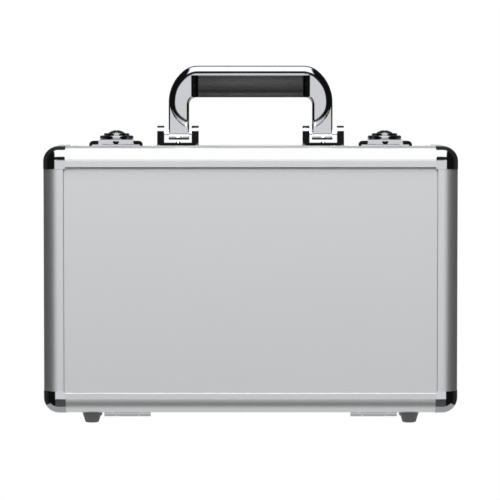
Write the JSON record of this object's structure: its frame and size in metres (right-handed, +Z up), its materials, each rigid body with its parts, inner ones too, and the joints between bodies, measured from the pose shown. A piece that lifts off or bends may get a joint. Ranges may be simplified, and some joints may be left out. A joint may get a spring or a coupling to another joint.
{
  "type": "socket wrench set in case",
  "caption": "Aluminium carrying case on rubber feet with a hinged lid, keyed latches and a folding handle, holding a ratchet, extension bars and sockets in a tray.",
  "frame": {"origin": "on the floor under the middle of the closed case", "axes": "+Z up, +X to the right seen from the lid, -Y out of the lid's large face"},
  "size_m": [0.3406, 0.0886, 0.2943],
  "materials": {
    "satin_aluminium": "satin",
    "panel_laminate": "satin",
    "chrome_plate": "polished",
    "zinc_steel": "satin",
    "grip_rubber": "matte",
    "foot_rubber": "matte",
    "lid_foam": "matte",
    "tray_foam": "matte",
    "tool_chrome": "polished",
    "tool_steel": "satin"
  },
  "bodies": {
    "base": {"rear_edge_profiles": "satin_aluminium", "base_corner_posts": "satin_aluminium", "base_mouth_frame": "satin_aluminium", "rear_panel": "panel_laminate", "base_wall_boards": "panel_laminate", "rear_corner_caps": "chrome_plate", "left_handle_bracket": "chrome_plate", "right_handle_bracket": "chrome_plate", "left_latch_base": "chrome_plate", "right_latch_base": "chrome_plate", "left_hinge_base_leaf": "zinc_steel", "right_hinge_base_leaf": "zinc_steel", "hinge_pins": "zinc_steel", "handle_pins": "zinc_steel", "latch_pins": "zinc_steel", "base_rivets": "zinc_steel", "rear_foot_screws": "zinc_steel", "ratchet_grip": "grip_rubber", "rear_feet": "foot_rubber", "tool_tray": "tray_foam", "socket_10mm": "tool_chrome", "socket_11mm": "tool_chrome", "socket_12mm": "tool_chrome", "socket_13mm": "tool_chrome", "socket_14mm": "tool_chrome", "socket_15mm": "tool_chrome", "socket_17mm": "tool_chrome", "socket_19mm": "tool_chrome", "socket_22mm": "tool_chrome", "socket_24mm": "tool_chrome", "long_extension": "tool_chrome", "short_extension": "tool_chrome", "spark_plug_socket": "tool_chrome", "ratchet_body": "tool_chrome", "ratchet_cover": "tool_steel", "ratchet_pawl": "tool_steel"},
    "lid": {"front_panel": "panel_laminate", "lid_wall_boards": "panel_laminate", "front_edge_profiles": "satin_aluminium", "front_corner_caps": "chrome_plate", "lid_corner_posts": "satin_aluminium", "lid_mouth_frame": "satin_aluminium", "lid_foam": "lid_foam", "left_latch_strike": "chrome_plate", "right_latch_strike": "chrome_plate", "left_hinge_lid_leaf": "zinc_steel", "right_hinge_lid_leaf": "zinc_steel", "front_feet": "foot_rubber", "front_foot_screws": "zinc_steel", "lid_rivets": "zinc_steel"},
    "handle": {"handle_frame": "chrome_plate", "handle_grip": "grip_rubber"},
    "left_flap": {"left_latch_flap": "chrome_plate"},
    "right_flap": {"right_latch_flap": "chrome_plate"},
    "left_lock": {"left_lock_cylinder": "chrome_plate"},
    "right_lock": {"right_lock_cylinder": "chrome_plate"},
    "ratchet_drive": {"drive_spindle": "tool_chrome"},
    "ratchet_selector": {"selector_lever": "tool_chrome"},
    "ratchet_button": {"release_button": "tool_chrome"}
  },
  "joints": [
    {"name": "lid_hinge", "type": "hinge", "parent": "base", "child": "lid", "pos_m": [0, -0.01, 0.00605], "axis": [1, 0, 0], "range_deg": [0, 100]},
    {"name": "handle_swing", "type": "hinge", "parent": "base", "child": "handle", "pos_m": [0, 0.004, 0.2383], "axis": [1, 0, 0], "range_deg": [-75, 75]},
    {"name": "left_latch", "type": "hinge", "parent": "base", "child": "left_flap", "pos_m": [-0.111, 0.015, 0.2318], "axis": [-1, 0, 0], "range_deg": [0, 105]},
    {"name": "right_latch", "type": "hinge", "parent": "base", "child": "right_flap", "pos_m": [0.111, 0.015, 0.2318], "axis": [-1, 0, 0], "range_deg": [0, 105]},
    {"name": "left_key_turn", "type": "hinge", "parent": "left_flap", "child": "left_lock", "pos_m": [-0.111, -0.0035, 0.234], "axis": [0, 0, 1], "range_deg": [0, 90]},
    {"name": "right_key_turn", "type": "hinge", "parent": "right_flap", "child": "right_lock", "pos_m": [0.111, -0.0035, 0.234], "axis": [0, 0, 1], "range_deg": [-90, 0]},
    {"name": "drive_spin", "type": "hinge", "parent": "base", "child": "ratchet_drive", "pos_m": [0.112, 0.01, 0.193], "axis": [0, 1, 0], "continuous": true},
    {"name": "selector_turn", "type": "hinge", "parent": "base", "child": "ratchet_selector", "pos_m": [0.092, -0.001, 0.193], "axis": [0, 1, 0], "range_deg": [-20, 20]},
    {"name": "button_press", "type": "slide", "parent": "ratchet_drive", "child": "ratchet_button", "axis": [0, 1, 0], "range_m": [0, 0.0018], "stiffness_N_per_m": 1500}
  ]
}
